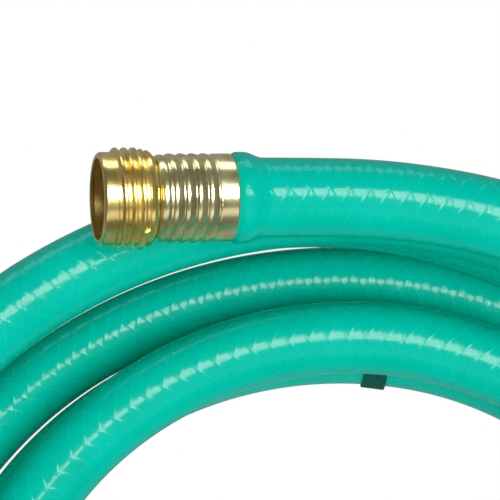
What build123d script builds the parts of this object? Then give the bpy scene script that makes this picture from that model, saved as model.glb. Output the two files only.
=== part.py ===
from build123d import *
from math import copysign, cos, pi, radians, sin, tan
import os

# ---------------------------------------------------------------------------
# Loose coil of 3/4 in reinforced garden hose with a brass coupling on each end.
# Millimetres, +Z up.  The coil lies on the plane Z = 0, and the origin is under
# the middle of the whole object.  Route points are given from the middle of the
# coil's turns and moved to the object's own frame by coil_point().
# ---------------------------------------------------------------------------

# Hose
HOSE_OD = 21.5
COVER_WALL = 1.25
BRAID_WALL = 0.3
LINER_WALL = 1.25
HOSE_R = HOSE_OD / 2
BRAID_OUTER_R = HOSE_R - COVER_WALL
LINER_OUTER_R = BRAID_OUTER_R - BRAID_WALL
BORE_R = LINER_OUTER_R - LINER_WALL

# Middle of the coil's turns in the object's frame
COIL_CENTRE_X = -4.0
COIL_CENTRE_Y = 10.0

# Coil: ring of the turns' outer shape.  Its own axis stands a little off the middle
# of the turns, because the lower turns spread to one side.
RING_AXIS_X = 4.0
RING_AXIS_Y = -6.0
RING_INNER_R = 104.0
RING_OUTER_R = 180.0
RING_TOP_INNER_R = 140.0
RING_TOP_OUTER_R = 169.0
INNER_STACK_TOP = 43.0      # two turns high on the inside
FLOOR_TURN_TOP = HOSE_OD    # one turn high on the outside
RING_TOP = 82.0

# Centre lines of the two stretches that leave the coil: (x, y, z) from the coil's middle
MALE_ROUTE = [(46.0, 145.3, 71.2), (16.0, 150.2, 74.9), (-17.7, 149.2, 81.7), (-49.3, 146.95, 90.3)]
FEMALE_ROUTE = [
    (45.7, -170.5, HOSE_R),
    (12.0, -181.5, HOSE_R),
    (-24.0, -184.0, HOSE_R),
    (-61.0, -180.0, HOSE_R),
    (-97.0, -169.5, 12.0),
    (-129.0, -155.0, 15.3),
]
CORNER_SHARE = 0.45         # part of the shorter run that each corner's arc takes up
NOTCH_CLEARANCE = 1.2       # room between the coil's solid and a free stretch beside it

# Couplings: lengths are along the axis, from the back of the ferrule to the mouth
HOSE_INSERTION = 19.8
FERRULE_LENGTH = 21.1
FERRULE_WALL = 0.6
FERRULE_RIB = 0.5
COLLAR_LENGTH = 5.2
RIB_COUNT = 4
RIB_PITCH = 3.1
STEM_WALL = 0.6
STEM_START = 1.5
PLATE = 0.8                 # brass sheet at the end walls and flanges

# Garden hose thread: diameters of the 3/4 in size
PITCH = 2.4
GROOVE_MOUTH_HALF = 0.42 * PITCH
GROOVE_FLOOR_HALF = 0.13 * PITCH
THREAD_PHASE = 128.0        # turn of the male thread about its own axis
THREAD_RUN_IN = 0.4         # from a thread's foot to the middle of its first groove
MALE_CREST_R = 13.45
MALE_ROOT_R = 12.4
SHEET = 0.7                 # wall of the rolled male shell
GROOVE_OVERRUN = 0.3        # how far a thread groove is cut past the surface it opens on
LEAD_BAND_R = 12.3
LEAD_BAND_LENGTH = 2.4
MALE_TOTAL = 35.7
SHELL_GAP = 0.05            # between the ferrule's front and the shell
THREAD_START = 23.7
SHOULDER_R = 12.75
MOUTH_R = 11.1
MOUTH_ROUND = 1.2           # length over which the shell turns in to its mouth

# Swivel nut
NUT_R = 15.2
NUT_RIB = 0.5
NUT_RIB_WIDTH = 1.8
NUT_RIB_COUNT = 20
NUT_START = 21.5
NUT_LENGTH = 19.0
NUT_BORE_R = 13.8           # major radius of the internal thread
NUT_MINOR_R = 12.55
NUT_BACK_WALL = 1.2
NUT_CHAMBER = 7.2           # room for flange and washer behind the internal thread
NUT_LIP = 0.55              # rolled edge round the mouth
NUT_MOUTH_LAND = 2.6        # plain counterbore in front of the thread
NUT_LAND_R = 14.0
RUNNING_FIT = 0.08
WASHER_THICKNESS = 3.0
WASHER_R = 12.4
WASHER_HOLE_R = 8.2
WASHER_PLAY = 0.3
MALE_FLANGE_R = 9.4
FEMALE_FLANGE_R = 11.4

# Strap round the inner floor turn
TIE_AZIMUTH = 82.7
TIE_TURN_R = 115.7
TIE_AXIS_Z = 11.6
TIE_WIDTH = 7.0
TIE_THICKNESS = 0.6
TIE_GAP = 0.1
TIE_POCKET = 11.0


def coil_point(point):
    """Move a point from the coil's middle to the object's frame."""
    x, y, z = point
    return Vector(x + COIL_CENTRE_X, y + COIL_CENTRE_Y, z)


def revolve_profile(points):
    """Closed outline of (radius, axial) points turned about the Z axis."""
    outline = Polyline(*[(r, 0, z) for r, z in points], close=True)
    return revolve(make_face(outline), Axis.Z)


# ------------------------------------------------------------------ free stretches

def corner_radii(points):
    """Radius of the tangent arc at each corner: as large as its two runs allow."""
    radii = []
    for before, corner, after in zip(points, points[1:], points[2:]):
        run_in = corner - before
        run_out = after - corner
        half_turn = radians(run_in.get_angle(run_out)) / 2
        radii.append(CORNER_SHARE * min(run_in.length, run_out.length) / tan(half_turn))
    return radii


def free_path(route):
    """Straight runs joined by tangent arcs through the route's points."""
    points = [coil_point(p) for p in route]
    radii = corner_radii(points)
    print("arc radii", [round(r) for r in radii])
    return FilletPolyline(*points, radius=radii)


def layer(path, outer_r, inner_r):
    """One layer of the hose wall along a path."""
    section = Plane(origin=path @ 0, z_dir=path % 0) * (Circle(outer_r) - Circle(inner_r))
    tube = sweep(section, path=path)
    expected = pi * (outer_r**2 - inner_r**2) * path.length
    print("layer volume", round(tube.volume), "of", round(expected))
    return tube


def hose_end(path, prefix):
    """Cover, braid and liner of one free stretch, as named pieces."""
    return {
        prefix + "_end_cover": layer(path, HOSE_R, BRAID_OUTER_R),
        prefix + "_end_reinforcement": layer(path, BRAID_OUTER_R, LINER_OUTER_R),
        prefix + "_end_liner": layer(path, LINER_OUTER_R, BORE_R),
    }


def coupling_plane(path):
    """Plane at the ferrule's back, its Z axis along the hose towards the mouth."""
    axis = path % 1
    return Plane(origin=path @ 1 - axis * HOSE_INSERTION, z_dir=axis)


# ------------------------------------------------------------------ coil

def ring():
    """Outer shape of the turns: a stepped ring with eased edges."""
    ease = 9.0
    outline = [
        (RING_INNER_R, 0),
        (RING_OUTER_R, 0),
        (RING_OUTER_R, FLOOR_TURN_TOP),
        (RING_TOP_OUTER_R, RING_TOP),
        (RING_TOP_INNER_R, RING_TOP),
        (RING_TOP_INNER_R - 5, INNER_STACK_TOP + 8),
        (RING_INNER_R + 20, INNER_STACK_TOP),
        (RING_INNER_R, INNER_STACK_TOP),
    ]
    face = make_face(Polyline(*[(r, 0, z) for r, z in outline], close=True))
    corners = [v for v in face.vertices() if v.Z > INNER_STACK_TOP - 1]
    face = fillet([v for v in corners if v.Z > RING_TOP - 1], ease)
    centre = Location((COIL_CENTRE_X + RING_AXIS_X, COIL_CENTRE_Y + RING_AXIS_Y, 0))
    return centre * revolve(face, Axis.Z)


def male_shelf(path):
    """Room above the lower turns, where the top turn lifts off the coil.

    Its end wall stands square to the hose, so the free stretch meets the coil face to face.
    """
    along = path % 0
    up = (Vector(0, 0, 1) - along * along.Z).normalized()
    shelf = Plane(origin=path @ 0, x_dir=along, z_dir=up)
    length, width, height = 200.0, 260.0, 80.0
    drop = HOSE_R + 0.2
    return shelf * Pos(length / 2, 0, height / 2 - drop) * Box(length, width, height)


def female_notch(path):
    """Room beside the floor turn, where the outer turn runs out of the coil."""
    reach = HOSE_R + NOTCH_CLEARANCE
    inner = []
    for share in (0.0, 0.2, 0.4, 0.6, 0.8):
        direction = path % share
        inward = Vector(direction.Y, -direction.X, 0).normalized()
        point = path @ share + inward * reach
        inner.append((point.X, point.Y))
    start = path @ 0
    outward = Vector(-(path % 0).Y, (path % 0).X, 0).normalized()
    outer_start = start + outward * 40
    far = path @ 0.8 + outward * 60
    outline = Polyline(*inner, (far.X, far.Y), (outer_start.X, outer_start.Y), close=True)
    return Pos(0, 0, -1) * extrude(make_face(outline), FLOOR_TURN_TOP + 2 + NOTCH_CLEARANCE)


def tie_plane():
    """Frame of the strap: X outward, Z along the turn."""
    azimuth = radians(TIE_AZIMUTH)
    origin = coil_point((TIE_TURN_R * cos(azimuth), TIE_TURN_R * sin(azimuth), TIE_AXIS_Z))
    outward = (cos(azimuth), sin(azimuth), 0)
    along = (-sin(azimuth), cos(azimuth), 0)
    return Plane(origin=origin, x_dir=outward, z_dir=along)


def tie():
    """Flat strap closed round one turn."""
    inner_r = HOSE_R + TIE_GAP
    strap = Cylinder(inner_r + TIE_THICKNESS, TIE_WIDTH) - Cylinder(inner_r, TIE_WIDTH + 2)
    return tie_plane() * strap


def coil(male_path, female_path):
    """The coil's solid with room for both free stretches and for the strap."""
    pocket_half = HOSE_R + TIE_THICKNESS + 2
    pocket_depth = 2 * pocket_half + 20
    body = ring() - male_shelf(male_path) - female_notch(female_path)
    body -= tie_plane() * Pos(-10, 0, 0) * Box(pocket_depth, 2 * pocket_half, TIE_POCKET)
    body += tie_plane() * Cylinder(HOSE_R, TIE_POCKET + 2)
    return body


# ------------------------------------------------------------------ couplings

def ferrule():
    """Crimped sleeve over the hose: flat collar, four ribs and a turned-in front bead."""
    inner_r = HOSE_R + 0.01
    low = inner_r + FERRULE_WALL
    high = low + FERRULE_RIB
    edges = [
        Line((inner_r, 0), (high - 0.25, 0)),
        ThreePointArc((high - 0.25, 0), (high - 0.14, 0.16), (high - 0.1, 0.4)),
        Line((high - 0.1, 0.4), (high - 0.1, COLLAR_LENGTH - 0.5)),
        ThreePointArc(
            (high - 0.1, COLLAR_LENGTH - 0.5), (high - 0.2, COLLAR_LENGTH - 0.15), (low, COLLAR_LENGTH)
        ),
    ]
    for k in range(RIB_COUNT):
        foot = COLLAR_LENGTH + k * RIB_PITCH
        edges += [
            Line((low, foot), (low, foot + 0.2)),
            ThreePointArc((low, foot + 0.2), (low + 0.24, foot + 0.85), (high, foot + 1.9)),
            ThreePointArc((high, foot + 1.9), (high - 0.07, foot + 2.5), (low, foot + RIB_PITCH)),
        ]
    bead = COLLAR_LENGTH + RIB_COUNT * RIB_PITCH
    front_r = inner_r - 1.3
    edges += [
        Line((low, bead), (low - 0.05, bead + 0.5)),
        ThreePointArc((low - 0.05, bead + 0.5), (low + 0.15, bead + 2.0), (front_r, FERRULE_LENGTH)),
        Line((front_r, FERRULE_LENGTH), (BORE_R + 0.01, FERRULE_LENGTH)),
        Line((BORE_R + 0.01, FERRULE_LENGTH), (BORE_R + 0.01, FERRULE_LENGTH - PLATE)),
        Line((BORE_R + 0.01, FERRULE_LENGTH - PLATE), (inner_r, FERRULE_LENGTH - PLATE)),
        Line((inner_r, FERRULE_LENGTH - PLATE), (inner_r, 0)),
    ]
    return revolve(Plane.XZ * make_face(Wire(edges)), Axis.Z)


def stem(flange_start, flange_r):
    """Tail tube inside the hose, flared to a flange at its front end."""
    inner_r = BORE_R - STEM_WALL
    return revolve_profile([
        (inner_r, STEM_START),
        (BORE_R - 0.25, STEM_START),
        (BORE_R - 0.05, STEM_START + 1),
        (BORE_R - 0.05, FERRULE_LENGTH - PLATE),
        (BORE_R, flange_start),
        (flange_r, flange_start),
        (flange_r, flange_start + PLATE),
        (inner_r + 0.8, flange_start + PLATE),
        (inner_r, flange_start + PLATE - 0.8),
    ])


def thread_groove(mouth_r, floor_r, start, end):
    """Helical V groove between two heights, from its mouth to its floor radius."""
    depth = floor_r - mouth_r
    overrun = -copysign(GROOVE_OVERRUN, depth)
    overrun_half = GROOVE_MOUTH_HALF - (GROOVE_MOUTH_HALF - GROOVE_FLOOR_HALF) * overrun / depth
    helix = Pos(0, 0, start) * Helix(PITCH, end - start, mouth_r)
    section = Plane(origin=helix @ 0, x_dir=(1, 0, 0), z_dir=helix % 0)
    outline = [(overrun, -overrun_half), (depth, -GROOVE_FLOOR_HALF)]
    outline += [(depth, GROOVE_FLOOR_HALF), (overrun, overrun_half)]
    return sweep(section * make_face(Polyline(*outline, close=True)), path=helix, is_frenet=True)


def height_window(inner_r, outer_r, start, end):
    """Ring-shaped space between two heights."""
    return revolve_profile([(inner_r, start), (outer_r, start), (outer_r, end), (inner_r, end)])


def male_shell():
    """Rolled shell: back wall, rounded shoulder, thread, plain lead band and turned-in mouth."""
    root, crest = MALE_ROOT_R, MALE_CREST_R
    back = FERRULE_LENGTH + SHELL_GAP
    band_start = MALE_TOTAL - MOUTH_ROUND - LEAD_BAND_LENGTH
    band_end = band_start + LEAD_BAND_LENGTH
    shoulder = THREAD_START - 1.0
    inner_r = root - SHEET
    edges = [
        Line((BORE_R + 0.01, back), (10.0, back)),
        ThreePointArc((10.0, back), (SHOULDER_R - 0.5, back + 0.75), (SHOULDER_R, shoulder)),
        Line((SHOULDER_R, shoulder), (root - 0.05, THREAD_START - 0.2)),
        Line((root - 0.05, THREAD_START - 0.2), (crest, THREAD_START + 0.8)),
        Line((crest, THREAD_START + 0.8), (crest, band_start - 0.25)),
        Line((crest, band_start - 0.25), (LEAD_BAND_R, band_start)),
        Line((LEAD_BAND_R, band_start), (LEAD_BAND_R, band_end)),
        ThreePointArc(
            (LEAD_BAND_R, band_end), (LEAD_BAND_R - 0.3, MALE_TOTAL - 0.35), (MOUTH_R, MALE_TOTAL)
        ),
        Line((MOUTH_R, MALE_TOTAL), (MOUTH_R - 0.4, MALE_TOTAL - 0.1)),
        Line((MOUTH_R - 0.4, MALE_TOTAL - 0.1), (MOUTH_R - 0.3, MALE_TOTAL - 0.8)),
        Line((MOUTH_R - 0.3, MALE_TOTAL - 0.8), (inner_r, MALE_TOTAL - 1.4)),
        Line((inner_r, MALE_TOTAL - 1.4), (inner_r, THREAD_START - 0.2)),
        ThreePointArc((inner_r, THREAD_START - 0.2), (root - 1.1, back + 1.5), (9.8, back + PLATE)),
        Line((9.8, back + PLATE), (BORE_R + 0.01, back + PLATE)),
        Line((BORE_R + 0.01, back + PLATE), (BORE_R + 0.01, back)),
    ]
    shell = revolve(Plane.XZ * make_face(Wire(edges)), Axis.Z)
    groove_start = THREAD_START + THREAD_RUN_IN
    outside = thread_groove(crest, root, groove_start, band_start + PITCH)
    inside = thread_groove(inner_r, crest - SHEET, groove_start - PITCH / 2, band_start + PITCH)
    inside &= height_window(inner_r - 1, crest, THREAD_START + 0.3, band_start - 0.3)
    return Rot(0, 0, THREAD_PHASE) * (shell - outside - inside)


def nut():
    """Swivel nut: back wall that runs on the stem's neck, ribbed body and internal thread."""
    end = NUT_START + NUT_LENGTH
    neck_r = BORE_R + RUNNING_FIT
    thread_end = end - NUT_MOUTH_LAND
    thread_start = NUT_START + NUT_CHAMBER
    body = revolve_profile([
        (neck_r, NUT_START),
        (NUT_R - 2.0, NUT_START),
        (NUT_R - 0.5, NUT_START + 0.6),
        (NUT_R, NUT_START + 2.0),
        (NUT_R, end - 2.6),
        (NUT_R + NUT_LIP, end - 2.2),
        (NUT_R + NUT_LIP, end - 0.5),
        (NUT_R + 0.15, end),
        (NUT_LAND_R, end),
        (NUT_LAND_R, thread_end),
        (NUT_BORE_R, thread_end),
        (NUT_MINOR_R, thread_end - 0.8),
        (NUT_MINOR_R, thread_start + 0.8),
        (NUT_BORE_R, thread_start),
        (NUT_BORE_R, NUT_START + 2.0),
        (NUT_BORE_R - 0.8, NUT_START + NUT_BACK_WALL),
        (neck_r, NUT_START + NUT_BACK_WALL),
    ])
    body -= thread_groove(NUT_MINOR_R, NUT_BORE_R - 0.05, thread_start + THREAD_RUN_IN, thread_end - 0.2)
    rib_length = NUT_LENGTH - 6.0
    rib = Pos(NUT_R, 0, NUT_START + 2.6 + rib_length / 2) * Box(2 * NUT_RIB, NUT_RIB_WIDTH, rib_length)
    rib = chamfer(rib.edges().filter_by(Axis.Z).group_by(Axis.X)[-1], 0.3)
    for k in range(NUT_RIB_COUNT):
        body += Rot(0, 0, 360 * k / NUT_RIB_COUNT) * rib
    return body


def washer(flange_front):
    """Flat rubber ring on the stem's flange, inside the nut."""
    ease = 0.3
    start = flange_front + WASHER_PLAY
    end = start + WASHER_THICKNESS
    return revolve_profile([
        (WASHER_HOLE_R, start),
        (WASHER_R - ease, start),
        (WASHER_R, start + ease),
        (WASHER_R, end - ease),
        (WASHER_R - ease, end),
        (WASHER_HOLE_R + ease, end),
        (WASHER_HOLE_R, end - ease),
    ])


# ------------------------------------------------------------------ assembly

male_path = free_path(MALE_ROUTE)
female_path = free_path(FEMALE_ROUTE)
male_plane = coupling_plane(male_path)
female_plane = coupling_plane(female_path)

MALE_FLANGE = FERRULE_LENGTH + SHELL_GAP + PLATE
FEMALE_FLANGE = NUT_START + NUT_BACK_WALL + WASHER_PLAY

parts = {"hose_coil": coil(male_path, female_path), "coil_tie": tie()}
parts.update(hose_end(male_path, "male"))
parts.update(hose_end(female_path, "female"))
parts["male_ferrule"] = male_plane * ferrule()
parts["male_stem"] = male_plane * stem(MALE_FLANGE, MALE_FLANGE_R)
parts["male_thread_shell"] = male_plane * male_shell()
parts["female_ferrule"] = female_plane * ferrule()
parts["female_stem"] = female_plane * stem(FEMALE_FLANGE, FEMALE_FLANGE_R)
parts["swivel_nut"] = female_plane * nut()
parts["hose_washer"] = female_plane * washer(FEMALE_FLANGE + PLATE)

for label, plane, distance in (
    ("male band middle", male_plane, MALE_TOTAL - 1.0 - LEAD_BAND_LENGTH / 2),
    ("nut middle", female_plane, NUT_START + NUT_LENGTH / 2),
    ("nut land middle", female_plane, NUT_START + NUT_LENGTH - NUT_MOUTH_LAND / 2),
):
    place = plane.origin + plane.z_dir * distance
    print(label, [round(v, 4) for v in (place.X, place.Y, place.Z)])
    print("  axis", [round(v, 5) for v in (plane.z_dir.X, plane.z_dir.Y, plane.z_dir.Z)])

os.makedirs("parts", exist_ok=True)
for name, solid in parts.items():
    export_step(solid, os.path.join("parts", name + ".step"))
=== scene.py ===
import math

import bpy
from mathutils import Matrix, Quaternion, Vector


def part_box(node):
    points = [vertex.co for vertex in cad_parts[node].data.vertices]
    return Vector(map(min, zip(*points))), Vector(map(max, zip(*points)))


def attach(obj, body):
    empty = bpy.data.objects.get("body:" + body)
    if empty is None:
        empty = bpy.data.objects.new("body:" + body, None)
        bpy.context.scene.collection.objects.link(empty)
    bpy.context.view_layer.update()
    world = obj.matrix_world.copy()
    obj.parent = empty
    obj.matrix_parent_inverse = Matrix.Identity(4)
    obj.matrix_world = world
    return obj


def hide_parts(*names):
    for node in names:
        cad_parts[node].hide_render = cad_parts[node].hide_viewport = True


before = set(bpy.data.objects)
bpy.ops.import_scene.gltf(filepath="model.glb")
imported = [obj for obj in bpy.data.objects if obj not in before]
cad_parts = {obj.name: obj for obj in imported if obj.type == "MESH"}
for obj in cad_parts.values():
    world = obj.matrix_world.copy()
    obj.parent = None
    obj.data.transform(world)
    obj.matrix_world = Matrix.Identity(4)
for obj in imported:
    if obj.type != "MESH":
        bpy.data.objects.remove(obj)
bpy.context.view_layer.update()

MM = 0.001
scene = bpy.context.scene

# ------------------------------------------------------------------ places from the frame

HOSE_R = 10.75 * MM
BRAID_OUTER_R = 9.5 * MM
LINER_OUTER_R = 9.2 * MM
BORE_R = 7.95 * MM
LAYER_GAP = 0.00002          # metres of air between two layers of the wall
RING_OUTER_R = 180.0 * MM    # the coil's solid is a ring of this radius about RING_AXIS
RING_AXIS = Vector((4.0, -6.0, 0.0)) * MM

coil_low, coil_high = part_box("hose_coil")
COIL = Vector(((coil_low[0] + coil_high[0]) / 2, coil_high[1] - RING_OUTER_R, 0.0)) - RING_AXIS


def from_coil(x, y, z):
    """A point given in millimetres from the middle of the turns, in the frame's metres."""
    return COIL + Vector((x, y, z)) * MM


# ------------------------------------------------------------------ camera

TARGET = from_coil(-24.7, 135.0, 80.0)
CAMERA_DISTANCE = 0.400
CAMERA_ELEVATION = math.radians(80.0)
FIELD_OF_VIEW = math.radians(19.07)
CLIP_START = 0.01
CLIP_END = 50.0


def make_camera():
    """The camera that looks down at the male coupling from the front."""
    data = bpy.data.cameras.new("camera")
    camera = bpy.data.objects.new("camera", data)
    scene.collection.objects.link(camera)
    back = Vector((0, -math.cos(CAMERA_ELEVATION), math.sin(CAMERA_ELEVATION)))
    camera.location = TARGET + back * CAMERA_DISTANCE
    camera.rotation_mode = "QUATERNION"
    camera.rotation_quaternion = (-back).to_track_quat("-Z", "Y")
    data.angle = FIELD_OF_VIEW
    data.clip_start = CLIP_START
    data.clip_end = CLIP_END
    scene.camera = camera


make_camera()

# ------------------------------------------------------------------ the hose's route

# Free ends, in millimetres from the middle of the turns: the male end runs from its tip to the
# coil, the female end from the coil to its tip
MALE_END = [(-49.3, 146.95, 90.3), (-17.7, 149.2, 81.7), (16.0, 150.2, 74.9)]
FLOOR = 10.75                # height of the middle of a hose that lies on the floor
FEMALE_END = [
    (45.7, -170.5, FLOOR),
    (12.0, -181.5, FLOOR),
    (-24.0, -184.0, FLOOR),
    (-61.0, -180.0, FLOOR),
    (-97.0, -169.5, 12.0),
    (-129.0, -155.0, 15.3),
]

# Each turn of the coil: (radius, height) in millimetres at these angles in degrees, clockwise
# from +Y seen from above. The first four come down from the top, the last three lie on the floor
# from the inside out. None stands where the turn hasn't begun.
STATION_ANGLES = (-60, -40, -20, 0, 20, 60, 105, 150, 195, 240)
TURNS = [
    [None, None, None, None, (151.8, 71.0),
     (153.0, 71.2), (155.5, 71.3), (161.0, 73.0), (159.0, 69.5), (154.0, 68.8)],
    [(148.8, 69.0), (150.7, 65.0), (151.1, 58.0), (152.2, 52.0), (153.2, 49.3),
     (155.3, 49.5), (158.0, 49.6), (165.0, 51.6), (155.5, 48.0), (157.5, 43.5)],
    [(155.5, 40.0), (156.0, 37.5), (156.2, 33.5), (155.6, 30.3), (153.3, 27.9),
     (155.7, 27.9), (159.0, 28.2), (156.0, 32.0), (144.0, 31.0), (129.0, 33.0)],
    [(109.9, 32.3), (112.4, 32.3), (114.6, 32.5), (116.8, 33.1), (118.4, 32.7),
     (120.3, 32.3), (123.0, 32.2), (118.7, 30.0), (114.5, 23.0), (111.0, 15.5)],
    [(116.9, FLOOR), (116.4, FLOOR), (115.4, 10.9), (115.5, 11.6), (117.5, 11.2),
     (121.0, FLOOR), (124.5, FLOOR), (128.5, FLOOR), (133.0, FLOOR), (135.5, FLOOR)],
    [(139.5, FLOOR), (138.5, FLOOR), (137.0, FLOOR), (137.0, FLOOR), (139.0, FLOOR),
     (142.5, FLOOR), (146.0, FLOOR), (151.0, FLOOR), (156.0, FLOOR), (158.0, FLOOR)],
    [(161.0, FLOOR), (161.5, FLOOR), (160.8, FLOOR), (164.5, FLOOR), (166.5, FLOOR),
     (169.0, FLOOR), (172.0, FLOOR), (175.5, FLOOR)],
]
POINT_STEP = 15.0            # degrees between the spline's points in a turn
CORNER_PULL = math.cos(math.radians(POINT_STEP / 2))   # the spline runs this much inside its points
ANGLE_SLACK = 0.1            # degrees, so that rounding can't drop the last point
SPLINE_ORDER = 3
SPLINE_STEPS = 12            # points of the finished line to each point of the spline


def stations():
    """All stations of all turns as (angle, radius, height), the angle counted on."""
    rows = []
    for turn, values in enumerate(TURNS):
        for angle, value in zip(STATION_ANGLES, values):
            if value is not None:
                rows.append((angle + 360.0 * turn, *value))
    return rows


def smooth_value(rows, column, angle):
    """Cubic through the stations: slopes are averages of the two spans beside each station."""
    def slope_of(i):
        return (rows[i + 1][column] - rows[i][column]) / (rows[i + 1][0] - rows[i][0])

    def slope_at(i):
        if i == 0:
            return slope_of(0)
        if i == len(rows) - 1:
            return slope_of(i - 1)
        before = rows[i][0] - rows[i - 1][0]
        after = rows[i + 1][0] - rows[i][0]
        return (after * slope_of(i - 1) + before * slope_of(i)) / (before + after)

    i = 0
    while i < len(rows) - 2 and rows[i + 1][0] <= angle:
        i += 1
    span = rows[i + 1][0] - rows[i][0]
    t = (angle - rows[i][0]) / span
    low, high = rows[i][column], rows[i + 1][column]
    return (
        (2 * t**3 - 3 * t**2 + 1) * low
        + (t**3 - 2 * t**2 + t) * span * slope_at(i)
        + (3 * t**2 - 2 * t**3) * high
        + (t**3 - t**2) * span * slope_at(i + 1)
    )


def coil_points():
    """The turns' points, one every POINT_STEP degrees."""
    rows = stations()
    points = []
    angle = rows[0][0]
    while angle <= rows[-1][0] + ANGLE_SLACK:
        radius = smooth_value(rows, 1, angle) / CORNER_PULL
        height = smooth_value(rows, 2, angle)
        turned = math.radians(angle)
        points.append((radius * math.sin(turned), radius * math.cos(turned), height))
        angle += POINT_STEP
    return points


def make_route():
    """The hose's whole line, read from one NURBS spline through its route points."""
    points = [from_coil(*p) for p in MALE_END + coil_points() + FEMALE_END]
    data = bpy.data.curves.new("hose_route", "CURVE")
    data.dimensions = "3D"
    spline = data.splines.new("NURBS")
    spline.points.add(len(points) - 1)
    for spline_point, point in zip(spline.points, points):
        spline_point.co = (*point, 1.0)
    spline.order_u = SPLINE_ORDER
    spline.use_endpoint_u = True
    data.resolution_u = SPLINE_STEPS
    route = bpy.data.objects.new("hose_route", data)
    mesh = bpy.data.meshes.new_from_object(route)
    line = [v.co.copy() for v in mesh.vertices]
    bpy.data.objects.remove(route)
    bpy.data.curves.remove(data)
    bpy.data.meshes.remove(mesh)
    return line


FERRULE_REACH = 19.8 * MM    # hose inside each ferrule
BULGE_RISE = 1.5 * MM        # the hose swells this much where a ferrule grips it
BULGE_RUN_UP = 1.6 * MM      # length over which the swelling rises
BULGE_TOP = 3.5 * MM         # length of the swelling before it falls
BULGE_LENGTH = 9.0 * MM
BULGE_LEAD = 4.0 * MM        # the finer sections start this far inside the ferrule
BULGE_STEPS = 7              # finer sections along the swelling


def distances(line):
    """Length along a line at each of its points."""
    along = [0.0]
    for a, b in zip(line, line[1:]):
        along.append(along[-1] + (b - a).length)
    return along


def finer_at_ferrules(line):
    """The line with extra points where the hose swells beside each ferrule."""
    along = distances(line)
    points = [line[0]]
    for i, (a, b) in enumerate(zip(line, line[1:])):
        past_rim = min(along[i], along[-1] - along[i + 1]) - FERRULE_REACH
        steps = BULGE_STEPS if -BULGE_LEAD < past_rim < BULGE_LENGTH else 1
        points += [a.lerp(b, step / steps) for step in range(1, steps + 1)]
    return points


def carried_frames(line):
    """Two directions across the line at each point, carried along it without twist."""
    last = len(line) - 1
    tangents = [
        (line[min(i + 1, last)] - line[max(i - 1, 0)]).normalized() for i in range(len(line))
    ]
    side = tangents[0].cross(Vector((0, 0, 1))).normalized()
    frames = []
    for before, tangent in zip([tangents[0]] + tangents, tangents):
        side = before.rotation_difference(tangent) @ side
        side = (side - tangent * side.dot(tangent)).normalized()
        frames.append((side, tangent.cross(side)))
    return frames


ROUTE = finer_at_ferrules(make_route())
ALONG = distances(ROUTE)
FRAMES = carried_frames(ROUTE)
HOSE_LENGTH = ALONG[-1]


def swelling(along):
    """Extra radius beside a ferrule's rim, fading out along the free hose."""
    past_rim = min(along, HOSE_LENGTH - along) - FERRULE_REACH
    if not 0.0 < past_rim < BULGE_LENGTH:
        return 0.0
    rise = min(1.0, past_rim / BULGE_RUN_UP)
    fall = max(0.0, past_rim - BULGE_TOP) / (BULGE_LENGTH - BULGE_TOP)
    return BULGE_RISE * math.sin(rise * math.pi / 2) * 0.5 * (1 + math.cos(math.pi * fall))


def tube_mesh(name, outer_r, inner_r, around, every, swells=False):
    """A closed hollow tube along the route, with UVs: metres along it, turns round it.

    around is the number of sides, and every is how many route points lie between two rings.
    """
    picks = list(range(0, len(ROUTE), every))
    if picks[-1] != len(ROUTE) - 1:
        picks.append(len(ROUTE) - 1)
    rings = len(picks)
    vertices = []
    for wall, bare_r in (("outer", outer_r), ("inner", inner_r)):
        for i in picks:
            side, up = FRAMES[i]
            radius = bare_r + (swelling(ALONG[i]) if swells and wall == "outer" else 0.0)
            for k in range(around):
                turned = 2 * math.pi * k / around
                across = side * math.cos(turned) + up * math.sin(turned)
                vertices.append(ROUTE[i] + across * radius)
    faces = []
    uvs = []
    inner = rings * around
    for ring in range(rings - 1):
        u0, u1 = ALONG[picks[ring]], ALONG[picks[ring + 1]]
        for k in range(around):
            k1 = (k + 1) % around
            v0, v1 = k / around, (k + 1) / around
            a, b = ring * around + k, ring * around + k1
            c, d = a + around, b + around
            faces.append((a, b, d, c))
            uvs += [(u0, v0), (u0, v1), (u1, v1), (u1, v0)]
            faces.append((inner + a, inner + c, inner + d, inner + b))
            uvs += [(u0, v0), (u1, v0), (u1, v1), (u0, v1)]
    for ring, flip in ((0, False), (rings - 1, True)):
        u = ALONG[picks[ring]]
        for k in range(around):
            k1 = (k + 1) % around
            a, b = ring * around + k, ring * around + k1
            face = (a, inner + a, inner + b, b)
            faces.append(face[::-1] if flip else face)
            uvs += [(u, k / around)] * 4
    mesh = bpy.data.meshes.new(name)
    mesh.from_pydata([tuple(v) for v in vertices], [], faces)
    layer = mesh.uv_layers.new(name="hose")
    for loop, uv in zip(layer.data, uvs):
        loop.uv = uv
    mesh.polygons.foreach_set("use_smooth", [True] * len(mesh.polygons))
    piece = bpy.data.objects.new(name, mesh)
    scene.collection.objects.link(piece)
    return piece


# ------------------------------------------------------------------ material nodes

def new_material(name, **settings):
    """A Principled material with the given values on its sockets, and its node tree."""
    material = bpy.data.materials.new(name)
    material.use_nodes = True
    tree = material.node_tree
    shader = tree.nodes["Principled BSDF"]
    for socket, value in settings.items():
        shader.inputs[socket.replace("_", " ")].default_value = value
    return material, tree, shader


def math_node(tree, operation, a, b=None, c=None):
    """The result of a math node, whose inputs are numbers or other nodes' results."""
    node = tree.nodes.new("ShaderNodeMath")
    node.operation = operation
    for socket, value in zip(node.inputs, (a, b, c)):
        if isinstance(value, bpy.types.NodeSocket):
            tree.links.new(value, socket)
        elif value is not None:
            socket.default_value = value
    return node.outputs[0]


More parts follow.
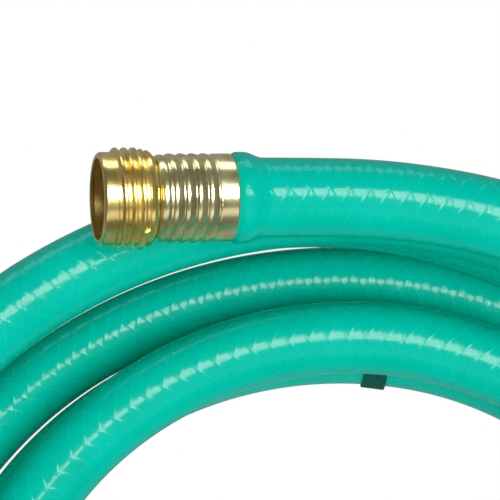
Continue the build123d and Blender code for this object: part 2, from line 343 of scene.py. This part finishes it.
def noise(tree, scale, detail=3.0):
    """Cloudy noise from 0 to 1, with this many cells to the metre."""
    node = tree.nodes.new("ShaderNodeTexNoise")
    node.inputs["Scale"].default_value = scale
    node.inputs["Detail"].default_value = detail
    texture = tree.nodes.new("ShaderNodeTexCoord")
    tree.links.new(texture.outputs["Object"], node.inputs["Vector"])
    return node.outputs["Fac"]


def colour_ramp(tree, value, stops):
    """The value's colour between two stops of (position, colour)."""
    node = tree.nodes.new("ShaderNodeValToRGB")
    ramp = node.color_ramp
    for element, (position, colour) in zip(ramp.elements, stops):
        element.position = position
        element.color = (*colour, 1.0)
    tree.links.new(value, node.inputs["Fac"])
    return node.outputs["Color"]


def bump(tree, shader, layers):
    """Bump from several heights, each with its own depth in metres."""
    normal = None
    for height, depth in layers:
        node = tree.nodes.new("ShaderNodeBump")
        node.inputs["Strength"].default_value = 1.0
        node.inputs["Distance"].default_value = depth
        tree.links.new(height, node.inputs["Height"])
        if normal is not None:
            tree.links.new(normal, node.inputs["Normal"])
        normal = node.outputs["Normal"]
    tree.links.new(normal, shader.inputs["Normal"])


# ------------------------------------------------------------------ materials

YARNS = 8                    # yarns wound each way under the cover
YARN_LEAD = 0.045            # length along the hose of one yarn's full turn
YARN_SHARPNESS = 22.0        # a higher power makes the raised line over a yarn narrower
YARN_RELIEF = 0.000055
VINYL_DARK = (0.0, 0.565, 0.425)
VINYL_LIGHT = (0.0, 0.665, 0.51)
VINYL_CLOUD = 0.8            # share of the colour's change that is cloudy; the rest is the braid
VINYL_BRAID = 0.2
PEEL_RELIEF = 0.000006

PLAIN_GRAIN = 700.0
PLAIN_SPREAD = 0.06          # the grain makes the colour this much darker and lighter
PLAIN_RELIEF = 0.00001

BRASS_GRAIN = 0.35           # shares of fine grain and of clouds in the brass's tone
BRASS_CLOUD = 0.65
GRAIN_RELIEF = 0.000012
SCRATCH_RELIEF = 0.00003

STRAP_DARK = (0.0, 0.075, 0.055)
STRAP_LIGHT = (0.0, 0.13, 0.095)
STRAP_RELIEF = 0.00004


def braid_height(tree):
    """Raised diagonals where the yarns press through the cover: 0 between them, 1 on a yarn."""
    uv = tree.nodes.new("ShaderNodeUVMap")
    uv.uv_map = "hose"
    split = tree.nodes.new("ShaderNodeSeparateXYZ")
    tree.links.new(uv.outputs["UV"], split.inputs[0])
    turns_along = math_node(tree, "MULTIPLY", split.outputs["X"], YARNS / YARN_LEAD)
    turns_round = math_node(tree, "MULTIPLY", split.outputs["Y"], float(YARNS))
    heights = []
    for operation in ("ADD", "SUBTRACT"):
        phase = math_node(tree, operation, turns_along, turns_round)
        wave = math_node(tree, "COSINE", math_node(tree, "MULTIPLY", phase, 2 * math.pi))
        lifted = math_node(tree, "MULTIPLY_ADD", wave, 0.5, 0.5)
        heights.append(math_node(tree, "POWER", lifted, YARN_SHARPNESS))
    return math_node(tree, "MAXIMUM", heights[0], heights[1])


def vinyl_material():
    """Glossy teal vinyl with the braid pressing faintly through it."""
    material, tree, shader = new_material("hose_vinyl", Roughness=0.11, IOR=1.2)
    braid = braid_height(tree)
    clouds = math_node(tree, "MULTIPLY", noise(tree, scale=60.0), VINYL_CLOUD)
    yarns = math_node(tree, "MULTIPLY", braid, VINYL_BRAID)
    tone = math_node(tree, "ADD", clouds, yarns)
    colour = colour_ramp(tree, tone, [(0.2, VINYL_DARK), (0.9, VINYL_LIGHT)])
    tree.links.new(colour, shader.inputs["Base Color"])
    peel = noise(tree, scale=900.0, detail=2.0)
    bump(tree, shader, [(braid, YARN_RELIEF), (peel, PEEL_RELIEF)])
    return material


def plain_material(name, colour, roughness):
    """A solid material with fine grain in its colour, gloss and surface."""
    material, tree, shader = new_material(name)
    cloud = noise(tree, scale=PLAIN_GRAIN)
    dark = tuple(c * (1 - PLAIN_SPREAD) for c in colour)
    light = tuple(min(1.0, c * (1 + PLAIN_SPREAD)) for c in colour)
    tinted = colour_ramp(tree, cloud, [(0.3, dark), (0.7, light)])
    tree.links.new(tinted, shader.inputs["Base Color"])
    gloss = math_node(tree, "MULTIPLY_ADD", cloud, roughness * 0.4, roughness * 0.8)
    tree.links.new(gloss, shader.inputs["Roughness"])
    bump(tree, shader, [(cloud, PLAIN_RELIEF)])
    return material


def brass_material(name, dull, bright, roughness):
    """Bright brass with handling wear: clouded tone, fine grain and small scratches."""
    material, tree, shader = new_material(name, Metallic=0.92)
    cloud = noise(tree, scale=180.0, detail=4.0)
    grain = noise(tree, scale=2600.0, detail=2.0)
    scratch = noise(tree, scale=45.0, detail=8.0)
    clouds = math_node(tree, "MULTIPLY", cloud, BRASS_CLOUD)
    worn = math_node(tree, "MULTIPLY_ADD", grain, BRASS_GRAIN, clouds)
    colour = colour_ramp(tree, worn, [(0.32, dull), (0.62, bright)])
    tree.links.new(colour, shader.inputs["Base Color"])
    gloss = math_node(tree, "MULTIPLY_ADD", cloud, roughness * 0.7, roughness * 0.65)
    tree.links.new(gloss, shader.inputs["Roughness"])
    bump(tree, shader, [(grain, GRAIN_RELIEF), (scratch, SCRATCH_RELIEF)])
    return material


def strap_material():
    """Matt strap with a fine grain."""
    material, tree, shader = new_material("tie_strap", Roughness=0.6, Specular_IOR_Level=0.2)
    cloud = noise(tree, scale=500.0)
    colour = colour_ramp(tree, cloud, [(0.3, STRAP_DARK), (0.7, STRAP_LIGHT)])
    tree.links.new(colour, shader.inputs["Base Color"])
    bump(tree, shader, [(cloud, STRAP_RELIEF)])
    return material


VINYL = vinyl_material()
LINER = plain_material("hose_liner", colour=(0.01, 0.16, 0.13), roughness=0.35)
YARN = plain_material("braid_yarn", colour=(0.78, 0.80, 0.78), roughness=0.8)
FERRULE_BRASS = brass_material(
    "ferrule_brass", dull=(0.58, 0.50, 0.22), bright=(0.90, 0.82, 0.46), roughness=0.22
)
THREAD_BRASS = brass_material(
    "thread_brass", dull=(0.62, 0.46, 0.13), bright=(0.92, 0.74, 0.28), roughness=0.22
)
RUBBER = plain_material("washer_rubber", colour=(0.02, 0.02, 0.02), roughness=0.6)
STRAP = strap_material()

# ------------------------------------------------------------------ hose pieces

cover = tube_mesh(
    "hose_cover", HOSE_R, BRAID_OUTER_R + LAYER_GAP, around=64, every=1, swells=True
)
cover.data.materials.append(VINYL)
reinforcement = tube_mesh(
    "hose_reinforcement", BRAID_OUTER_R, LINER_OUTER_R + LAYER_GAP, around=24, every=4
)
reinforcement.data.materials.append(YARN)
liner = tube_mesh("hose_liner", LINER_OUTER_R, BORE_R, around=24, every=4)
liner.data.materials.append(LINER)

for piece, slot_name, nodes in (
    (cover, "hose_vinyl", ("hose_coil", "male_end_cover", "female_end_cover")),
    (reinforcement, "braid_yarn", ("male_end_reinforcement", "female_end_reinforcement")),
    (liner, "hose_liner", ("male_end_liner", "female_end_liner")),
):
    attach(piece, "hose")
    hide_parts(*nodes)

CAD_MATERIALS = {
    "coil_tie": STRAP,
    "male_ferrule": FERRULE_BRASS,
    "male_stem": THREAD_BRASS,
    "male_thread_shell": THREAD_BRASS,
    "female_ferrule": FERRULE_BRASS,
    "female_stem": THREAD_BRASS,
    "swivel_nut": THREAD_BRASS,
    "hose_washer": RUBBER,
}
for node, material in CAD_MATERIALS.items():
    for material_slot in bpy.data.objects[node].material_slots:
        material_slot.material = material

# ------------------------------------------------------------------ floor and light

WHITE = (1.0, 1.0, 1.0, 1.0)
BACKDROP = 1.0               # the surroundings as the camera sees them, plain white
STUDIO_FILL = 0.28           # even light from all round, on the surfaces' own colour
STUDIO_SHINE = 0.11          # the same surroundings as the gloss shows them
FLOOR_FILL = 0.6
FLOOR_SHINE = 0.3
FLOOR_HALF = 3.0
FLOOR_Z = -0.0005            # just under the hose

# Softboxes, placed in metres from the camera's target, radiance in watts per square metre and
# steradian
KEY_MIDDLE = Vector((0.27, 0.04, 0.0))   # the point straight under the key softbox
KEY_HEIGHT = Vector((0, 0, 1))
KEY_TURN = math.radians(14)              # about the vertical
TOP_FILL_PLACE = Vector((0.25, -0.35, 1.1))
REAR_PLACE = Vector((-0.35, 1.4, 0.15))
FRONT_PLACE = Vector((0, -0.9, 0.7))


def seen_as(tree, fill, shine):
    """A strength that differs for the picture, for soft light and for reflections."""
    path = tree.nodes.new("ShaderNodeLightPath")
    seen = math_node(tree, "MULTIPLY", path.outputs["Is Camera Ray"], BACKDROP - shine)
    soft = math_node(tree, "MULTIPLY", path.outputs["Is Diffuse Ray"], fill - shine)
    return math_node(tree, "ADD", math_node(tree, "ADD", seen, soft), shine)


def floor_material():
    """A floor that glows evenly, so that it is as white as the surroundings."""
    material = bpy.data.materials.new("floor_glow")
    material.use_nodes = True
    tree = material.node_tree
    tree.nodes.clear()
    light = tree.nodes.new("ShaderNodeEmission")
    light.inputs["Color"].default_value = WHITE
    tree.links.new(seen_as(tree, FLOOR_FILL, FLOOR_SHINE), light.inputs["Strength"])
    output = tree.nodes.new("ShaderNodeOutputMaterial")
    tree.links.new(light.outputs[0], output.inputs["Surface"])
    return material


def make_floor():
    """One large square under the hose, part of the stage."""
    corners = [
        (x * FLOOR_HALF, y * FLOOR_HALF, 0) for x, y in ((-1, -1), (1, -1), (1, 1), (-1, 1))
    ]
    mesh = bpy.data.meshes.new("floor")
    mesh.from_pydata(corners, [], [(0, 1, 2, 3)])
    floor = bpy.data.objects.new("floor", mesh)
    floor.location.z = FLOOR_Z
    scene.collection.objects.link(floor)
    mesh.materials.append(floor_material())


def panel(name, place, target, width, height, radiance, gives):
    """A softbox that gives only reflections ("shine") or only soft light ("fill")."""
    data = bpy.data.lights.new(name, "AREA")
    data.shape = "RECTANGLE"
    data.size = width
    data.size_y = height
    data.energy = radiance * math.pi * width * height
    light = bpy.data.objects.new(name, data)
    light.location = place
    light.rotation_mode = "QUATERNION"
    light.rotation_quaternion = (target - place).to_track_quat("-Z", "Y")
    scene.collection.objects.link(light)
    light.visible_diffuse = gives == "fill"
    light.visible_glossy = gives == "shine"
    return light


def make_light():
    """White surroundings and four softboxes."""
    world = bpy.data.worlds.new("studio")
    world.use_nodes = True
    tree = world.node_tree
    background = tree.nodes["Background"]
    background.inputs["Color"].default_value = WHITE
    tree.links.new(seen_as(tree, STUDIO_FILL, STUDIO_SHINE), background.inputs["Strength"])
    scene.world = world
    key = panel(
        "key_softbox", TARGET + KEY_MIDDLE + KEY_HEIGHT, TARGET + KEY_MIDDLE,
        width=0.76, height=0.40, radiance=24.0, gives="shine",
    )
    key.rotation_quaternion = Quaternion((0, 0, 1), KEY_TURN) @ key.rotation_quaternion
    panel(
        "top_fill", TARGET + TOP_FILL_PLACE, TARGET,
        width=0.9, height=0.9, radiance=4.5, gives="fill",
    )
    rear = TARGET + REAR_PLACE
    panel(
        "rear_panel", rear, rear - Vector((0, 1, 0)),
        width=1.8, height=0.5, radiance=3.0, gives="shine",
    )
    panel(
        "front_panel", TARGET + FRONT_PLACE, TARGET,
        width=1.6, height=0.45, radiance=0.9, gives="shine",
    )


make_floor()
make_light()
scene.view_settings.view_transform = "Standard"
